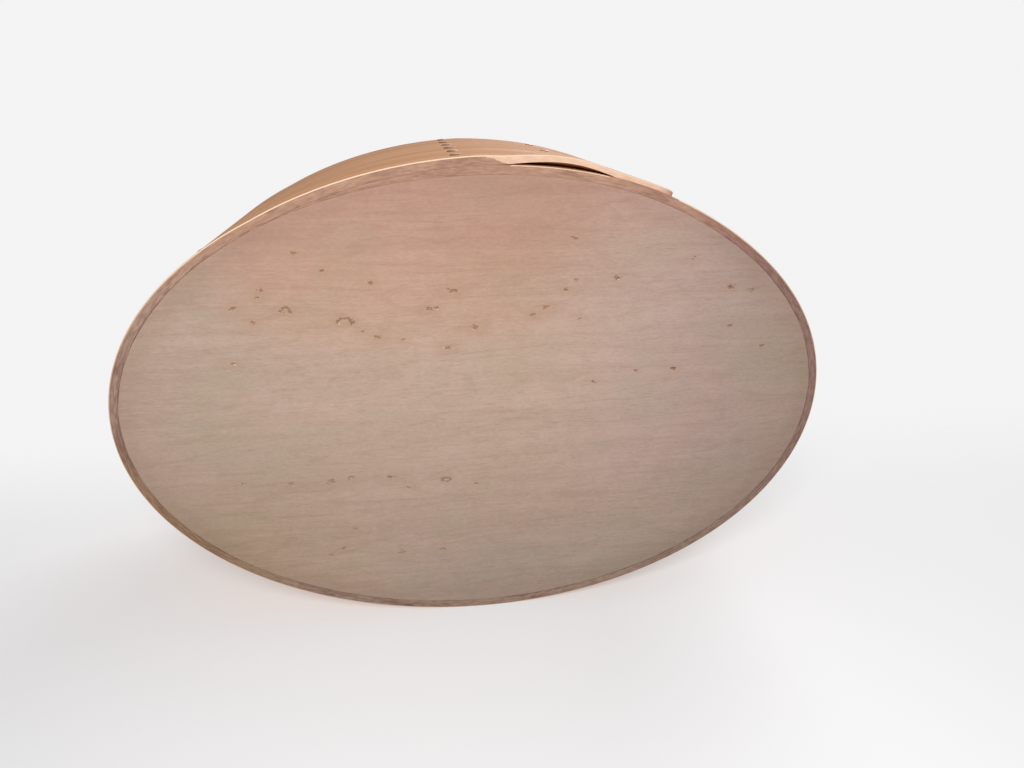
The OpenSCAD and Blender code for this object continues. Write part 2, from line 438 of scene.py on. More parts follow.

# %% [markdown]
# Each eye is a cone that falls from 1 at its middle to 0 at its edge. A few large ones are arcs
# that fall off on both sides of their radius and fade below. Where they meet, the highest wins.
# Noise then breaks each eye into small brown strokes, with a painted highlight, a pale glint,
# beside some of them.

# %% Group: eyes
EYE_FLATNESS, EYE_SPREAD, NO_EYE = 1.8, 1.25, -9.0
ARC_WIDTH, ARC_FADE, ARC_FROM = 0.55, 0.5, 0.2
RAGGED, MIDDLE_GREY = (2.2 * MM, 1.2 * MM, 0.0), (0.5, 0.5, 0.5)
tree, given, result = start_group("eyes", {"Vector": "V"},
                                  {"Eye": "F", "Halo": "F", "PaintedGlint": "F"})
place = given["Vector"]
ragged = put(tree, "TexNoise", {"Vector": place, "Scale": 1 / MM, "Detail": 2.0}).outputs[1]
ragged = calc_vector(tree, "SUBTRACT", ragged, MIDDLE_GREY)
spot = calc_vector(tree, "MULTIPLY_ADD", ragged, RAGGED, place)
spot = calc_vector(tree, "MULTIPLY", spot, (1 / MM, EYE_FLATNESS / MM, 0.0))
spot_y = put(tree, "SeparateXYZ", {0: spot}).outputs["Y"]
cone = NO_EYE
for x, y, radius in EYES + RINGS:
    middle = (x, y * EYE_FLATNESS, 0.0)
    away = calc_vector(tree, "DISTANCE", spot, middle, output="Value")
    if (x, y, radius) in RINGS:
        below = mix_in(tree, spot_y, ARC_FADE, -ARC_FADE * middle[1] - ARC_FROM)
        away = calc(tree, "ABSOLUTE", calc(tree, "SUBTRACT", away, radius))
        away = calc(tree, "ADD", away, calc(tree, "MAXIMUM", below, 0.0))
        radius = ARC_WIDTH
    own = mix_in(tree, away, -1.0 / (EYE_SPREAD * radius), 1.0)
    cone = calc(tree, "MAXIMUM", cone, own)
stroke = mix_in(tree, noise(tree, place, (900, 1900, 0), 1.0), 2.6, cone)
# Painted highlight: pale glints beside the eyes, where light catches the lower side of a dimple.
glint_spots = smooth(tree, noise(tree, place, (1000, 1600, 40), 1.0), 0.67, 0.74)
fill(tree, result, {
    "Eye": smooth(tree, stroke, 1.45, 2.0), "Halo": smooth(tree, cone, -4.5, 0.4),
    "PaintedGlint": times(tree, glint_spots, smooth(tree, cone, -0.7, 0.1))})
eye_group = tree
print("group", eye_group.name)

# %% [markdown]
# Hands rub the arrises pale, and a painted highlight lightens them further where light catches
# them; dust and old wax darken what lies close to a joint.
# Both start from an attribute that holds the distance to the nearest edge in metres,
# broken up by noise.

# %% Group: edge share, for the pale edges with their painted highlight, and for grime
tree, given, result = start_group("edge share", {"Vector": "V", "Distance": "F", "Width": "F"},
                                  {"EdgeShare": "F"})
broken = noise(tree, given["Vector"], (240, 240, 240), 3.0, 0.6)
limit = times(tree, given["Width"], mix_in(tree, broken, 1.8, 0.1))
share = calc(tree, "DIVIDE", given["Distance"], limit)
fill(tree, result, {"EdgeShare": smooth(tree, share, 0.35, 1.0, 1.0, 0.0)})
edge_group = tree
print("group", edge_group.name)

# %% [markdown]
# The band's faces carry a thin, worn, honey coloured varnish. The strip attribute unrolls the
# band: X runs along the strip from the roots of the fingers, Y through it and Z up it.

# %% Finish: band face
def varnished_wood(name, pale, deep, wear_and_highlight_tint, back_wear_and_highlight=0.5):
    """Streaked wood under thin varnish: pale and deep mixed by the grain, paler along the edges
    from use and from a painted highlight that is stronger towards -Y.
    """
    material, tree, shader = start_material(name)
    place = attribute(tree, "strip", "Vector")
    _, spots = object_place(tree)
    grain = use_group(tree, grain_group, Vector=place)
    patches = use_group(tree, mottle_group, Vector=place)
    edge_share = use_group(tree, edge_group, Vector=place, Distance=attribute(tree, "rim"),
                     Width=0.45 * MM)
    # Painted highlight: the pale edge share is partly real wear and partly a painted highlight
    # where light catches the arris, stronger towards -Y and at the lower edge.
    wear_and_highlight_share = times(tree, edge_share["EdgeShare"], smooth(tree, spots["Y"], -55 * MM, -15 * MM, 0.85, back_wear_and_highlight),
                       smooth(tree, spots["Z"], 4 * MM, 12 * MM, 1.0, 0.5))
    tone = mix_in(tree, grain["Line"], 0.4, times(tree, grain["Streak"], 0.6))
    shade = blend_colour(tree, tone, colour(*deep), colour(*pale))
    marks_and_painted_light = coat(tree, shade, (
        (times(tree, patches["Warm"], 0.3), (0.6, 0.32, 0.18)),
        (times(tree, grain["Dash"], 0.3), (0.34, 0.18, 0.10)),
        (times(tree, grain["Pore"], 0.3), (0.2, 0.11, 0.06)),
        (wear_and_highlight_share, wear_and_highlight_tint)))
    height = calc(tree, "SUBTRACT", tone, grain["Pore"])
    fill(tree, shader, {
        "Base Color": marks_and_painted_light, "Roughness": smooth(tree, tone, 0.0, 1.0, 0.70, 0.58),
        "Specular IOR Level": 0.08, "Normal": bumped(tree, height, 0.25, 0.05 * MM)})
    return material


# The third colour tints the pale edges, partly real wear and partly painted highlight; 0.35 is
# their share away from -Y.
band_face = varnished_wood("honey_maple", (0.645, 0.325, 0.157), (0.462, 0.218, 0.098),
                           (0.88, 0.66, 0.47), 0.35)
print("finish", band_face.name)

# %% [markdown]
# The band's narrow edges were sawn and sanded, so they show pinkish, slightly dirty wood.
# On the fingers the edges are freshly cut and pale. The fresh part starts at the roots along a
# slanting line, so it depends on the place along the strip and through it.
# Broad soft washes of painted light and shade then lighten and darken the rim from side to side.

# %% Finish: band edge, wood
band_edge, tree, shader = start_material("sawn_edge")
place = attribute(tree, "strip", "Vector")
parts = put(tree, "SeparateXYZ", {0: place}).outputs
around, spots = object_place(tree)
grain = use_group(tree, grain_group, Vector=place)
patches = use_group(tree, mottle_group, Vector=place)
speck = noise(tree, place, (340, 1700, 1700), 2.0, 0.6)
tone = mix_in(tree, smooth(tree, speck, 0.38, 0.62), 0.85,
              mix_in(tree, patches["Warm"], 0.4, -0.125))
old, clean, new = (blend_colour(tree, tone, colour(*dark), colour(*light)) for dark, light in (
    ((0.28, 0.17, 0.13), (0.41, 0.265, 0.20)), ((0.425, 0.238, 0.16), (0.51, 0.305, 0.21)),
    ((0.74, 0.48, 0.34), (0.83, 0.57, 0.41))))
pale = blend_colour(tree, smooth(tree, spots["Y"], -60 * MM, -30 * MM, 0.85, 0.0), old, clean)
torn = mix_in(tree, noise(tree, place, (600, 900, 600), 3.0, 0.65), 3.0 * MM, parts["X"])
skewed = mix_in(tree, parts["Y"], 2.9, torn)
fresh = times(tree, smooth(tree, skewed, 3.4 * MM, 4.4 * MM),
              smooth(tree, parts["Z"], 3 * MM, 8 * MM, 1.0, 0.35))
smudge = times(tree, smooth(tree, noise(tree, place, (75, 200, 200), 3.0, 0.6), 0.45, 0.68),
               calc(tree, "SUBTRACT", 1.0, fresh))
# Painted light and shade: apart from the smudge, which is dirt, these washes stand in for how the
# light falls across the rim: darker and more golden at the lower left, darker towards +X, at the
# top towards -X and at the upper right, lighter towards +Y and at the lower right.
marks_and_painted_light = coat(tree, blend_colour(tree, fresh, pale, new), (
    (region(tree, spots, X=(-45, -90), Y=(-5, 25)), (0.86, 0.79, 0.64)),
    (region(tree, spots, X=(20, 100)), (0.86, 0.80, 0.86)),
    (smudge, (0.80, 0.75, 0.76)),
    (region(tree, spots, X=(35, -5), Y=(-40, -62)), (0.89, 0.87, 0.86)),
    (region(tree, spots, Y=(5, 50)), (1.04, 1.09, 1.06)),
    (region(tree, spots, X=(52, 74), Y=(15, 38)), (1.08, 1.16, 1.12)),
    (region(tree, spots, X=(58, 75), Y=(-25, -42)), (0.90, 0.85, 0.90))), "MULTIPLY")
print("wood of", band_edge.name)

# %% [markdown]
# Dirt lies in the sawn pores and gathers where the edge meets the board, which the through
# attribute shows: it is 0 on the outer face and 1 on the inner. One dark stain sits at the back.

# %% Finish: band edge, dirt
STAIN = (-26 * MM, half_width - 2 * MM, 0.0)
through = attribute(tree, "through")
gathered = calc(tree, "MAXIMUM", smooth(tree, spots["Y"], -68 * MM, -45 * MM, 0.5, 1.7),
                smooth(tree, spots["X"], -15 * MM, -40 * MM, 0.0, 1.6))
joint = times(tree, smooth(tree, through, 0.78, 0.95),
              smooth(tree, noise(tree, place, (130, 130, 130), 3.0, 0.65), 0.48, 0.6), gathered)
dirt = smooth(tree, noise(tree, place, (90, 1100, 1100), 4.0, 0.6), 0.53, 0.68)
dirt = times(tree, calc(tree, "MAXIMUM", dirt, joint), mix_in(tree, fresh, -0.35, 0.4))
away = calc_vector(tree, "DISTANCE", around, STAIN, output="Value")
stain = smooth(tree, mix_in(tree, speck, 2.4 * MM, away), 2.2 * MM, 3.4 * MM, 0.6, 0.0)
fill(tree, shader, {
    "Base Color": coat(tree, marks_and_painted_light, ((dirt, (0.19, 0.10, 0.07)), (stain, (0.12, 0.055, 0.035)))),
    "Roughness": 0.7, "Specular IOR Level": 0.2,
    "Normal": bumped(tree, grain["Line"], 0.3, 0.06 * MM)})
print("finish", band_edge.name)

# %% [markdown]
# ## The side band
# On the real carrier this is one strip: steamed, wrapped round a form, lapped and tacked.
# Its outer end is cut into fingers that let the wood move, and its inner end is feathered thin.
# It could be an extruded outline with cuts, but then the fingers could not lift or thin.
# So the strip is a grid: stations along it, rows up it, and a depth for its outer and inner face.

# %% The oval and the lap
root_x, finger_length, finger_count = 6.0 * MM, 51.0 * MM, 3
tip_height, tip_round, tip_inset = 12.0 * MM, 6.0 * MM, 0.8 * MM
finger_curve, root_slot = 1.6, 3.0 * MM
feather_length, feather_edge = 62.0 * MM, 0.06 * MM
glue_line, LAP_LINE = lap_step - thickness, 0.02 * MM
tip_x = root_x + finger_length
SWELL, SWELL_FROM, SWELL_TO, SWELL_LEAN = 0.85 * MM, -20 * MM, 90 * MM, 1.175


def front_angle(x):
    """Angle of the oval's front at a distance x from its middle."""
    return 1.5 * np.pi + np.arcsin(x / half_length)


def oval_normal(angle):
    """Outward normal of the oval: the gradient of its equation, made one long."""
    n = np.stack([np.cos(angle) / half_length, np.sin(angle) / half_width])
    return n / np.linalg.norm(n, axis=0)


def swell(angle):
    """How far the oval stands out beside the lap: a leaning squared sine between two places."""
    share = np.clip((half_length * np.cos(angle) - SWELL_FROM) / (SWELL_TO - SWELL_FROM), 0.0, 1.0)
    return np.where(np.sin(angle) < 0, SWELL * np.sin(np.pi * share ** SWELL_LEAN) ** 2, 0.0)


def oval_point(angle, depth):
    """A point of the swollen oval, moved out by depth along the normal, as x and y."""
    on_oval = np.stack([half_length * np.cos(angle), half_width * np.sin(angle)])
    return on_oval + (depth + swell(angle)) * oval_normal(angle)


ramp_low, ramp_high = front_angle(-feather_length), 1.5 * np.pi
feather_share = (feather_edge + glue_line) / lap_step
feather_angle = ramp_low + feather_share * (ramp_high - ramp_low) - 2 * np.pi


def ramp(angle):
    """Rises evenly from 0 to 1 where the outer layer climbs over the inner one."""
    return np.clip((angle - ramp_low) / (ramp_high - ramp_low), 0.0, 1.0)


def outer_depth(angle):
    """Outer face: climbs the ramp in the lap, runs on the oval, and dips under the outer layer."""
    under = ramp(angle + 2 * np.pi) * lap_step - lap_step
    on_oval = np.where(angle > ramp_high - 2 * np.pi, 0.0, under)
    return np.where(angle > ramp_low, ramp(angle) * lap_step, on_oval)


def inner_depth(angle):
    """Inner face: close on the layer below in the lap, one thickness inside the oval elsewhere."""
    in_lap = outer_depth(angle) - thickness - glue_line + LAP_LINE
    return np.where(angle > ramp_low, in_lap, -thickness)


print(f"lap from x {-feather_length:.3f} to {tip_x:.3f} m")

# %% [markdown]
# Stations run from the finger tips to the feathered end. Each finger is drawn in towards its tip,
# ends in an arc, and meets its neighbour at a round root.

# %% Stations and finger outlines
SIDE_STATIONS, RING_STATIONS = 46, 420
pitch = band_height / finger_count
tip_turn = np.radians([10, 15, 20, 26, 34, 43, 53, 65, 78])
side_x = np.linspace(tip_x - tip_round, root_x, SIDE_STATIONS)
root_turn = np.radians([22, 45, 66, 90])
finger_x = np.concatenate([tip_x - tip_round * (1 - np.cos(tip_turn)), side_x,
                           root_x - root_slot / 2 * np.sin(root_turn)])
middle_depth = lap_step - thickness / 2
first_angle = front_angle(finger_x)
finger_angle = front_angle(finger_x - middle_depth * oval_normal(first_angle)[0])
ring_angle = np.linspace(finger_angle[-1], feather_angle, RING_STATIONS)[1:]
angle = np.concatenate([finger_angle, ring_angle])
finger_stations, stations = len(finger_x), len(angle)

half_gap = np.full(finger_stations, root_slot / 2)
half_gap[len(tip_turn) + len(side_x):] = root_slot / 2 * np.cos(root_turn)
drawn = np.clip((finger_x - root_x) / (finger_length - tip_round), 0.0, 1.0) ** finger_curve
tip_share = np.ones(finger_stations)
tip_share[:len(tip_turn)] = np.sin(tip_turn)


def finger_edges(i):
    """Lower and upper edge of finger i by station: drawn in to a round tip, open at the root."""
    first, last = i == 0, i == finger_count - 1
    low = i * pitch + (0 if first else half_gap)
    high = (i + 1) * pitch - (0 if last else half_gap)
    middle = (i + 0.5) * pitch
    if first:
        middle = tip_inset + tip_height / 2
    elif last:
        middle = band_height - tip_inset - tip_height / 2
    low = low + drawn * (middle - tip_height / 2 - low)
    high = high + drawn * (middle + tip_height / 2 - high)
    low, high = (middle + (edge - middle) * tip_share for edge in (low, high))
    rest = np.ones(stations - finger_stations)
    return np.concatenate([low, i * pitch * rest]), np.concatenate([high, (i + 1) * pitch * rest])


path_points = oval_point(angle, (outer_depth(angle) + inner_depth(angle)) / 2)
path_steps = np.linalg.norm(np.diff(path_points, axis=1), axis=0)
along = np.concatenate([[0.0], np.cumsum(path_steps)])
along_root = np.interp(-root_x, -finger_x, along[:finger_stations])
strip_along = along_root - along
print(f"strip {along[-1]:.4f} m long, {stations} stations")

# %% [markdown]
# The lowest finger has sprung away from the layer under it near its lower edge, as in the
# photograph, and all tips are thinned. Rows crowd at both edges of a finger, to round them.

# %% Rows, lift and thinning
ARRIS, BARED_ARRIS, TIGHT_ARRIS = 0.35 * MM, 0.6 * MM, 0.03 * MM
TIP_DROP, TIP_STRETCH, FEATHER_DROP = 1.0 * MM, 3.2, 0.02 * MM
LIFT, LIFT_START, LIFT_END, LIFT_HEIGHT = 1.15 * MM, 6.5 * MM, 38.5 * MM, 12.0 * MM
LIFT_LEAN, LIFT_SCOOP, BARED_FROM = 1.2, 1.25, 0.1 * MM
TIP_THINNING, THIN_START = 0.5 * MM, 25.0 * MM
ARRIS_SHARE, INNER_TIP_SHARE, FAR = 0.3, 0.25, 1.0
row_offset = np.array([0, 0.07, 0.22, 0.5, 1.0, 2.0, 2.0, 2.0, 2.0, 2.0,
                       3.0, 3.5, 3.78, 3.93, 4.0]) * MM
row_share = np.array([0, 0, 0, 0, 0, 0, 0.25, 0.5, 0.75, 1, 1, 1, 1, 1, 1])
rows = len(row_share)


def lift_at(x, z):
    """Outward spring of the lowest finger: a hump on its lower edge that dies out with height."""
    w = np.clip((x - LIFT_START) / (LIFT_END - LIFT_START), 0.0, 1.0)
    return LIFT * np.sin(np.pi * w ** LIFT_LEAN) * np.clip(1 - z / LIFT_HEIGHT, 0.0, 1.0) ** 2


def finger_thinning(x):
    """How much thinner the outer layer is: it loses the swell below it, and more towards a tip."""
    return swell(front_angle(x)) + TIP_THINNING * step(x, THIN_START, tip_x)


print(rows, "rows to a finger, lift", LIFT, "m")

# %% [markdown]
# Each finger and the strip behind it make one grid. Its arrises could be bevelled afterwards, but
# here the rows next to an edge just drop by a quarter circle, so that the covered edges can stay
# tight and the bared ones turn rounder.

# %% Band grids
def band_grid(i):
    """Heights, depths and edge distances of finger i and the strip behind it, station by row."""
    first, last = i == 0, i == finger_count - 1
    low, high = finger_edges(i)
    span = np.minimum(1.0, (high - low) / (2 * row_offset[-1]))
    room = (high - low - row_offset[-1] * span)[:, None]
    z = low[:, None] + row_offset * span[:, None] + row_share * room
    free = np.zeros((stations, 1))
    free[:finger_stations, 0] = half_gap / (root_slot / 2)
    covered = angle < finger_angle[0] - 2 * np.pi
    bared = lift_at(half_length * np.sin(angle - ramp_high), 0 * angle) > BARED_FROM
    radius = np.where(covered, np.where(bared, BARED_ARRIS, TIGHT_ARRIS), ARRIS)
    radius = np.minimum(radius, ARRIS_SHARE * (outer_depth(angle) - inner_depth(angle)))[:, None]
    below = np.where(first | (free > 0), z - low[:, None], FAR)
    above = np.where(last | (free > 0), high[:, None] - z, FAR)
    ease_low, ease_high = (1.0 if outermost else free for outermost in (first, last))
    at_tip = along < along[-1] / 2
    ends = np.minimum(along, along[-1] - along)[:, None] + 0 * z
    tip = np.where(at_tip, TIP_DROP, FEATHER_DROP)[:, None]
    stretch = np.where(at_tip, TIP_STRETCH, 1.0)[:, None]

    def drop(size, tip_size):
        """The larger of the drops at the lower edge, the upper edge and the ends."""
        edges = [roll(below, size) * ease_low, roll(above, size) * ease_high]
        return np.maximum.reduce([*edges, roll(ends / stretch, tip_size)])

    x = np.where(angle > ramp_low, half_length * np.cos(angle), -half_length)
    x[:finger_stations] = finger_x
    spring = lift_at(x[:, None], z) if first else 0 * z
    thin = finger_thinning(x)[:, None]
    outer = outer_depth(angle)[:, None] + spring - thin - drop(radius, tip)
    inner = inner_depth(angle)[:, None] + LIFT_SCOOP * spring
    inner = inner + drop(np.minimum(radius, TIGHT_ARRIS), INNER_TIP_SHARE * tip)
    shown = np.where((covered & ~bared)[:, None], FAR, below)
    return z, outer, inner, np.minimum.reduce([shown, above, ends]), np.minimum(FAR, above)


def place_on_oval(depth, z):
    """Points of a station by row grid from its depth and height."""
    x, y = oval_point(angle[:, None] + 0 * z, depth)
    return np.stack([x, y, z], axis=-1)


print("a grid has", stations, "by", rows, "points")

# %% [markdown]
# Every finger has an outer and an inner grid, with walls between them along the free edges.
# Neighbouring grids share a row of points, which merge, so the strip is one closed shell.
# The walls, and the rows next to them on the inner face, take the sawn finish.

# %% Side band piece
points, faces, wall_faces, edge_rows = [], [], [], []
fields = {"strip": [], "rim": [], "through": []}
face_row = np.tile(np.arange(rows - 1), stations - 1)
face_angle = np.repeat(angle[1:], rows - 1)
at_finger = np.repeat(np.arange(1, stations) < finger_stations, rows - 1)
hidden = face_angle < finger_angle[0] - 2 * np.pi
per_grid = stations * rows
for i in range(finger_count):
    z, outer, inner, outer_rim, inner_rim = band_grid(i)
    for through, (depth, rim) in enumerate(((outer, outer_rim), (inner, inner_rim))):
        strip = np.stack([strip_along[:, None] + 0 * z, depth, z], axis=-1)
        points.append(place_on_oval(depth, z).reshape(-1, 3))
        fields["strip"].append(strip.reshape(-1, 3))
        fields["rim"].append(rim.ravel())
        fields["through"].append(np.full(per_grid, float(through)))
    low_row = (face_row == 0) & (at_finger | (i == 0))
    high_row = (face_row == rows - 2) & (at_finger | (i == finger_count - 1))
    edge_rows += [(low_row | high_row) & hidden, low_row | high_row]
    start_outer, start_inner = 2 * i * per_grid, (2 * i + 1) * per_grid
    faces += [grid_faces(stations, rows, start_outer), grid_faces(stations, rows, start_inner)]

    def wall(picks):
        """Quads between the same line of points on the outer and the inner face."""
        line = np.stack([start_outer + picks, start_inner + picks])
        return np.stack([line[0, :-1], line[0, 1:], line[1, 1:], line[1, :-1]], axis=-1)

    lowest = np.arange(stations if i == 0 else finger_stations) * rows
    highest = np.arange(stations if i == finger_count - 1 else finger_stations) * rows + rows - 1
    tip, end = np.arange(rows), (stations - 1) * rows + np.arange(rows)
    wall_faces += [wall(picks) for picks in (lowest, highest, tip, end)]
faces, wall_faces = np.concatenate(faces), np.concatenate(wall_faces)
make_piece(
    "side_band_strip", np.concatenate(points), np.concatenate([faces, wall_faces]).tolist(),
    [band_face, band_edge], "side_band",
    {name: np.concatenate(values) for name, values in fields.items()},
    np.concatenate([*edge_rows, np.ones(len(wall_faces), bool)]).astype(int))

# %% [markdown]
# ## The bottom board
# A plain oval of figured maple, let into the band and flush with its lower edge.
# A picture of wood could be laid on it, but noise stays sharp from near by and has no seams.
# First comes the figure: streaks, fine lines and curl, under soft pink and grey patches.

# %% Finish: board, figure
board_finish, tree, shader = start_material("figured_maple")
place, parts = object_place(tree)
grain = use_group(tree, grain_group, Vector=place)
patches = use_group(tree, mottle_group, Vector=place)
curl = smooth(tree, noise(tree, place, (150, 260, 260), 3.0, 0.6, 0.8), 0.34, 0.66)
tone = mix_in(tree, grain["Line"], 0.25, times(tree, grain["Streak"], 0.4))
tone = mix_in(tree, curl, 0.35, tone)
base = blend_colour(tree, tone, colour(0.469, 0.332, 0.259), colour(0.563, 0.405, 0.323))
figured = coat(tree, base, ((times(tree, patches["Warm"], 0.22), (0.54, 0.35, 0.27)),
                            (times(tree, patches["Grey"], 0.5), (0.46, 0.365, 0.265))))
print("figure of", board_finish.name)

# %% [markdown]
# The board is not one even colour. Broad washes are multiplied over the figure: warmer beside the
# lap, darker near the rim, painted shade at the ends and towards +Y where the light falls off, and
# warmer again on the upper side.

# %% Finish: board, washes
drifting = mix_in(tree, patches["Warm"], -3 * MM, parts["Y"])
warmth = times(tree, smooth(tree, drifting, -22 * MM, -64 * MM),
               smooth(tree, parts["X"], 10 * MM, 65 * MM, 1.0, 0.25),
               smooth(tree, parts["X"], -75 * MM, -25 * MM, 0.85, 1.0))
# Darker near the rim.
near_rim = smooth(tree, attribute(tree, "rim"), 9 * MM, 1.5 * MM)
speck = smooth(tree, noise(tree, place, (700, 1700, 1700), 2.0, 0.6), 0.35, 0.65)
wavy = calc(tree, "SINE", times(tree, noise(tree, place, (9, 70, 70), 3.0, 0.5, 0.3), 60.0))
washed = coat(tree, figured, (
    (warmth, (0.87, 0.72, 0.68)),
    # Painted shade: darker at both ends and towards +Y, where the light falls off.
    (region(tree, parts, X=(-25, -95)), (0.90, 0.92, 0.93)),
    (region(tree, parts, X=(42, 95)), (0.86, 0.87, 0.90)),
    (region(tree, parts, Y=(0, 45)), (0.92, 0.92, 0.93)),
    (region(tree, parts, X=(-25, -75), Y=(10, 42)), (0.98, 0.97, 0.86)),
    (region(tree, parts, X=(-78, -50, 0, 35), Y=(-60, -40, -30, -14)), (0.99, 0.93, 0.88)),
    (region(tree, parts, X=(15, 55, 74, 94), Y=(38, 20)), (1.0, 1.0, 1.07)),
    # Painted shade: darker at the middle of the +Y side.
    (region(tree, parts, X=(-40, 0), Y=(32, 60)), (0.89, 0.94, 0.95)),
    (near_rim, (0.92, 0.89, 0.88)),
    (region(tree, parts, Z=(2, 4)), (1.26, 1.12, 0.92)),
    (speck, (0.94, 0.93, 0.92)),
    (smooth(tree, wavy, 0.7, 1.0), (0.965, 0.95, 0.935))), "MULTIPLY")
print("washes of", board_finish.name)

# %% [markdown]
# Pores come next, then the eyes with their faint halos and painted highlights, pale glints beside
# them.
# The grime in the joint is last, because it lies over everything else.

# %% Finish: board, eyes and grime
eyes = use_group(tree, eye_group, Vector=place)
haze = times(tree, eyes["Halo"], smooth(tree, parts["Y"], 15 * MM, -8 * MM, 0.14, 0.38),
             smooth(tree, parts["X"], 0.0, 45 * MM, 1.0, 0.35))
strong = times(tree, smooth(tree, noise(tree, place, (150, 150, 150), 1.0), 0.3, 0.7, 0.45, 0.9),
               smooth(tree, parts["Y"], 15 * MM, -8 * MM, 0.75, 1.1))
grime = use_group(tree, edge_group, Vector=place, Distance=attribute(tree, "rim"), Width=0.3 * MM)
grime = times(tree, grime["EdgeShare"], smooth(tree, parts["Y"], -64 * MM, -30 * MM, 0.05, 0.8),
              smooth(tree, noise(tree, place, (80, 80, 80), 3.0, 0.6), 0.38, 0.6, 0.25, 1.0))
eyed = coat(tree, washed, (
    (times(tree, grain["Dash"], 0.36), (0.33, 0.20, 0.14)),
    (times(tree, grain["Pore"], 0.18), (0.26, 0.16, 0.11)),
    (haze, (0.41, 0.25, 0.155)),
    (times(tree, eyes["Eye"], strong), (0.27, 0.125, 0.068)),
    # Painted highlight: pale glints beside the eyes.
    (times(tree, eyes["PaintedGlint"], 0.7), (0.85, 0.70, 0.57)),
    (grime, (0.13, 0.075, 0.05))))
height = mix_in(tree, grain["Line"], 0.2, times(tree, eyes["Eye"], -1.0))
fill(tree, shader, {
    "Base Color": eyed, "Roughness": smooth(tree, tone, 0.0, 1.0, 0.66, 0.56),
    "Specular IOR Level": 0.25, "Normal": bumped(tree, height, 0.8, 0.15 * MM)})
print("finish", board_finish.name)

# %% [markdown]
# The board's outline is the band's inner oval. It could be extruded and bevelled, but a profile
# carried round it gives the arrises in the same step. The profile runs from the middle of the
# underside to the middle of the upper side, so the board is one closed shell.

# %% Bottom board piece
BOARD_SEGMENTS = 288
around = np.linspace(0, 2 * np.pi, BOARD_SEGMENTS, endpoint=False)
board_arris, joint_gap = 0.03 * MM, 0.01 * MM
spread = np.array([0.05, 0.2, 0.35, 0.5, 0.62, 0.74, 0.82, 0.88])
flat_inset = np.array([6.0, 3.0, 1.5, 0.8]) * MM
corner = np.radians([90, 67, 45, 22, 0])
corner_inset = board_arris * (1 - np.cos(corner))
corner_rise = board_arris * (1 - np.sin(corner))
inset = np.concatenate([0 * spread, flat_inset, corner_inset])
rise = np.concatenate([0 * spread, 0 * flat_inset, corner_rise])
scale = np.concatenate([spread, np.ones(len(flat_inset) + len(corner))])
inset, scale = np.concatenate([inset, inset[::-1]]), np.concatenate([scale, scale[::-1]])
rise = np.concatenate([rise, board_thickness - rise[::-1]])
depth = -(thickness + joint_gap + inset)[:, None] + 0 * around
ring_x, ring_y = oval_point(around + 0 * depth, depth) * scale[:, None]
points = np.stack([ring_x, ring_y, rise[:, None] + 0 * ring_x], axis=-1)
to_edge = np.where(scale < 1, (1 - scale) * half_width, inset)[:, None] + 0 * ring_x
make_piece("bottom_board_oval", points.reshape(-1, 3), tube_faces(*ring_x.shape), [board_finish],
           "bottom_board", {"rim": to_edge.ravel()})

# %% [markdown]
# ## The hoop handle
# A thin strip bent over the middle, with its legs inside the band. A curve with a bevel could
# make it, but not its taper to the grip and its scribed feet. So a rounded rectangle is carried
# along a path: a leg, a half circle and the other leg.

# %% Handle finish and path
GRIP_START, LEG_STATIONS, BOW_STATIONS = 0.6, 44, 90
# Its pale edges, too, are partly real wear and partly painted highlight.
handle_finish = varnished_wood("honey_ash", (0.62, 0.33, 0.175), (0.46, 0.225, 0.11),
                               (0.76, 0.52, 0.34))
leg_reach, handle_height = hoop_high[1], hoop_high[2]
handle_width, grip_width, handle_thickness = hoop_high[0] - hoop_low[0], 20.0 * MM, 4.0 * MM
spring_height = handle_height - leg_reach
grip_height = spring_height + GRIP_START * leg_reach
foot = hoop_low[2]
mid_reach = leg_reach - handle_thickness / 2
leg_z = np.linspace(foot, spring_height, LEG_STATIONS)
bow = np.linspace(0, np.pi, BOW_STATIONS)[1:-1]
centre_y = np.concatenate([-mid_reach + 0 * leg_z, -mid_reach * np.cos(bow),
                           mid_reach + 0 * leg_z])
centre_z = np.concatenate([leg_z, spring_height + mid_reach * np.sin(bow), leg_z[::-1]])
turn = np.concatenate([0 * leg_z, bow, np.pi + 0 * leg_z])
path_length = np.concatenate([[0], np.cumsum(np.hypot(np.diff(centre_y), np.diff(centre_z)))])
taper = np.clip((centre_z - band_height) / (grip_height - band_height), 0.0, 1.0)
width = handle_width + (grip_width - handle_width) * taper
print(f"hoop {path_length[-1]:.4f} m along its middle")

# %% [markdown]
# The profile follows that path. It shrinks at both ends to round them, and the outer faces of
# the legs are scribed to the inside of the band.

# %% Handle piece
CORNER, END_ROUND, RIM_MARGIN, STRIP_SHIFT = 1.3 * MM, 0.6 * MM, 0.25 * MM, 0.7
CORNER_POINTS, FLAT_POINTS = 6, 9
end_distance = np.minimum(path_length, path_length[-1] - path_length)
quarter = np.radians(np.linspace(0, 90, CORNER_POINTS))
flat = np.linspace(1, -1, FLAT_POINTS)[1:-1]


def rounded_profile(half, radius):
    """Rounded rectangle round a station, across and through, from its half width."""
    h, t = half[:, None], handle_thickness / 2 + 0 * half[:, None]
    r = radius[:, None]
    corners = []
    for k, (sx, sn) in enumerate(((1, 1), (-1, 1), (-1, -1), (1, -1))):
        a = quarter if k % 2 == 0 else quarter[::-1]
        corners.append(np.stack([sx * (h - r + r * np.cos(a)), sn * (t - r + r * np.sin(a))]))
        if k in (0, 2):
            corners.append(np.stack([sx * flat * (h - r), sn * t + 0 * flat]))
    return np.concatenate(corners, axis=2)


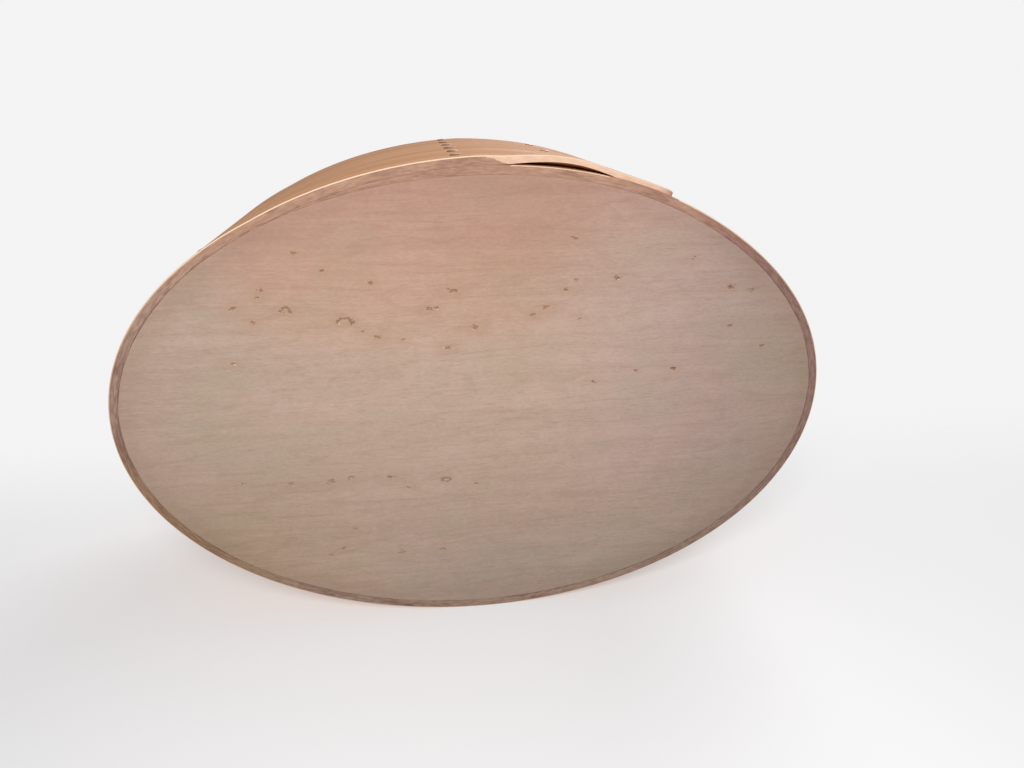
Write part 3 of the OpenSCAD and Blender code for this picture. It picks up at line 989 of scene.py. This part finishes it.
end_roll = roll(end_distance, END_ROUND)
across, through = rounded_profile(width / 2, CORNER + 0 * width)
shrink = 1 - end_roll / (handle_thickness / 2)
across, through = across * (1 - end_roll / (width / 2))[:, None], through * shrink[:, None]
inner_half_width = half_width - thickness - fit
inner_half_length = half_length - thickness - fit
scribe = leg_reach - inner_half_width * np.sqrt(1 - (across / inner_half_length) ** 2)
scribe = scribe * (through / handle_thickness + 0.5) * np.abs(np.cos(turn))[:, None]
offset = through - scribe
y = centre_y[:, None] - offset * np.cos(turn)[:, None]
z = centre_z[:, None] + offset * np.sin(turn)[:, None]
points = np.stack([across, y, z], axis=-1)
strip = np.stack([path_length[:, None] + STRIP_SHIFT + 0 * across, through, across], axis=-1)
to_side = np.minimum(width[:, None] / 2 - np.abs(across) + RIM_MARGIN, 1.0)
rim = to_side + (handle_thickness / 2 - np.abs(through))
make_piece("hoop_handle", points.reshape(-1, 3), tube_faces(*points.shape[:2]), [handle_finish],
           "handle", {"strip": strip.reshape(-1, 3), "rim": rim.ravel()})

# %% [markdown]
# ## Tacks
# Small copper tacks with low domed heads, brown with age and rubbed brighter on the crown.
# An attribute holds how far up the crown a point lies, so that the finish can follow it.

# %% Finish: copper
copper, tree, shader = start_material("dark_copper")
place, _ = object_place(tree)
stain = smooth(tree, noise(tree, place, (900, 900, 900), 4.0, 0.6), 0.35, 0.65)
crown = attribute(tree, "crown")
dark = blend_colour(tree, stain, colour(0.10, 0.05, 0.032), colour(0.24, 0.12, 0.075))
fill(tree, shader, {
    "Base Color": coat(tree, dark, ((times(tree, crown, 0.6), (0.54, 0.28, 0.175)),)),
    "Metallic": 0.6, "Roughness": smooth(tree, stain, 0.0, 1.0, 0.6, 0.42),
    "Normal": bumped(tree, stain, 0.3, 0.05 * MM)})
print("finish", copper.name)

# %% [markdown]
# The points come through the wood and are bent over. A turned solid could not bend, so a circle
# of changing radius is carried along the tack's path: crown, rim, shank, bend, point.

# %% Tack shape
head_radius, head_height, shank_radius = 1.7 * MM, 0.4 * MM, 0.7 * MM
clinch_length, bend_radius, play = 2.6 * MM, 0.8 * MM, 0.05 * MM
RIM_SHARE, UNDER_RIM, POINT = 0.25, 0.96, np.array([0.75, 0.5, 0.3])
TACK_SEGMENTS, TACK_WAVES = 20, ((2, 0.05, 2.4), (3, 0.03, 1.1))
UP = np.array([0.0, 0.0, 1.0])
ring = np.linspace(0, 2 * np.pi, TACK_SEGMENTS, endpoint=False)


def tack_path(grip):
    """Distance along the outward normal, rise, turn and radius from the crown to the bent point."""
    dome = np.radians([4, 20, 38, 56, 74, 90])
    straight = grip + play + shank_radius - bend_radius
    curl = np.radians([0, 22, 45, 68, 90])
    crown = RIM_SHARE * head_height + (1 - RIM_SHARE) * head_height * np.cos(dome)
    out = np.concatenate([crown, [0.0, 0.0, -straight / 2], -straight - bend_radius * np.sin(curl),
                          -straight - bend_radius + np.zeros(3)])
    rise = np.concatenate([np.zeros(9), bend_radius * (1 - np.cos(curl)),
                           clinch_length * np.array([0.55, 0.95, 1.0])])
    bent = np.concatenate([np.zeros(9), curl, np.full(3, np.pi / 2)])
    radius = np.concatenate([head_radius * np.sin(dome), [UNDER_RIM * head_radius],
                             np.full(7, shank_radius), shank_radius * POINT])
    return out, rise, bent, radius


def make_tacks(name, node, places):
    """One piece of several tacks. Each place is an angle, a seat depth, a height and a grip."""
    points, faces, crowns = [], [], []
    for k, (angle, seat, height, grip) in enumerate(places):
        out, rise, bent, radius = tack_path(grip)
        normal = np.array([*oval_normal(np.array(angle)), 0.0])
        side = np.array([-normal[1], normal[0], 0.0])
        seat_point = np.array([*oval_point(np.array(angle), seat), height])
        centre = seat_point + out[:, None] * normal + rise[:, None] * UP
        upward = np.sin(bent)[:, None] * normal + np.cos(bent)[:, None] * UP
        circle = radius[:, None] * uneven(ring, k, TACK_WAVES)
        shell = (centre[:, None] + (circle * np.cos(ring))[..., None] * side
                 + (circle * np.sin(ring))[..., None] * upward[:, None])
        faces += tube_faces(len(out), TACK_SEGMENTS, sum(map(len, points)))
        points.append(shell.reshape(-1, 3))
        crowns.append(np.repeat(np.clip(out / head_height, 0.0, 1.0), TACK_SEGMENTS))
    make_piece(name, np.concatenate(points), faces, [copper], node,
               {"crown": np.concatenate(crowns)})


print("a tack has", TACK_SEGMENTS, "sides and a head", 2 * head_radius, "m wide")

# %% [markdown]
# Each finger has two tacks at its root, which also hold the hoop's front leg, and one further
# out. Six more hold the back leg. Their heads sit on the thinned and sprung outer layer.

# %% Tack pieces
low_tack_gap, high_tack_gap = 1.6 * MM, 5.5 * MM
root_tack_x, finger_tack_x = -5.6 * MM, root_x + 20.0 * MM
root_tack_angle = front_angle(root_tack_x)
tack_rows = np.linspace(board_thickness + low_tack_gap, band_height - high_tack_gap,
                        2 * finger_count)
handle_reach = fit + handle_thickness
root_seat = float(outer_depth(root_tack_angle) - finger_thinning(root_tack_x))
root_grip, back_grip = root_seat + thickness + handle_reach, thickness + handle_reach
finger_grip = lap_step + thickness
for i, group in enumerate(("lower_finger_tacks", "middle_finger_tacks", "upper_finger_tacks")):
    low, high = finger_edges(i)
    station = np.argmin(np.abs(finger_x - finger_tack_x))
    height = (low[station] + high[station]) / 2
    spring = lift_at(finger_tack_x, height) if i == 0 else 0.0
    seat = lap_step + spring - finger_thinning(finger_tack_x)
    places = [(root_tack_angle, root_seat, z, root_grip) for z in tack_rows[2 * i:2 * i + 2]]
    places.append((finger_angle[station], seat, height, finger_grip))
    make_tacks(group + "_copper", group, places)
places = [(0.5 * np.pi, 0.0, z, back_grip) for z in tack_rows]
make_tacks("handle_tacks_copper", "handle_tacks", places)

# %% [markdown]
# ## Pegs
# Twelve split wooden pegs hold the board. Only their end grain shows, as dark dots.

# %% Finish: pegs
peg_finish, tree, shader = start_material("peg_end_grain")
place, _ = object_place(tree)
dots = smooth(tree, noise(tree, place, (1500, 1500, 1500), 2.0, 0.6), 0.4, 0.65)
fill(tree, shader, {
    "Base Color": blend_colour(tree, dots, colour(0.24, 0.14, 0.085), colour(0.42, 0.26, 0.16)),
    "Roughness": smooth(tree, dots, 0.0, 1.0, 0.75, 0.6),
    "Normal": bumped(tree, dots, 0.4, 0.08 * MM)})
print("finish", peg_finish.name)

# %% [markdown]
# The pegs end almost flush with the band, so each is a slightly uneven rod with a low rounded
# end. All twelve are worked out at once, as an array of pegs by rings by points.

# %% Peg piece
peg_radius, peg_count, LAP_MARGIN = 0.9 * MM, 12, np.radians(10)
PEG_SEGMENTS, PEG_WAVES = 14, ((2, 0.08, 1.7), (5, 0.05, 2.9))
peg_angles = np.linspace(front_angle(tip_x) - 2 * np.pi + LAP_MARGIN, ramp_low - LAP_MARGIN,
                         peg_count)
peg_out = np.array([0.15, 0.12, 0.04, -0.12, -0.5, -10.6, -10.9, -11.0]) * MM
peg_share = np.array([0.3, 0.62, 0.86, 1.0, 1.0, 1.0, 0.9, 0.6])
ring = np.linspace(0, 2 * np.pi, PEG_SEGMENTS, endpoint=False)
normal = np.stack([*oval_normal(peg_angles), 0 * peg_angles], axis=-1)
side = np.stack([-normal[:, 1], normal[:, 0], 0 * peg_angles], axis=-1)
height = board_thickness / 2 + 0 * peg_angles
seat = np.stack([*oval_point(peg_angles, 0 * peg_angles), height], axis=-1)
order = np.arange(peg_count)[:, None]
hand = peg_radius * uneven(ring, order, PEG_WAVES)
circle = peg_share[None, :, None] * hand[:, None, :]
points = ((seat[:, None] + peg_out[None, :, None] * normal[:, None])[:, :, None]
          + (circle * np.cos(ring))[..., None] * side[:, None, None]
          + (circle * np.sin(ring))[..., None] * UP)
faces, per_peg = [], len(peg_out) * PEG_SEGMENTS
for start in range(0, peg_count * per_peg, per_peg):
    faces += tube_faces(len(peg_out), PEG_SEGMENTS, start)
make_piece("bottom_pegs_wood", points.reshape(-1, 3), faces, [peg_finish],
           "bottom_pegs")
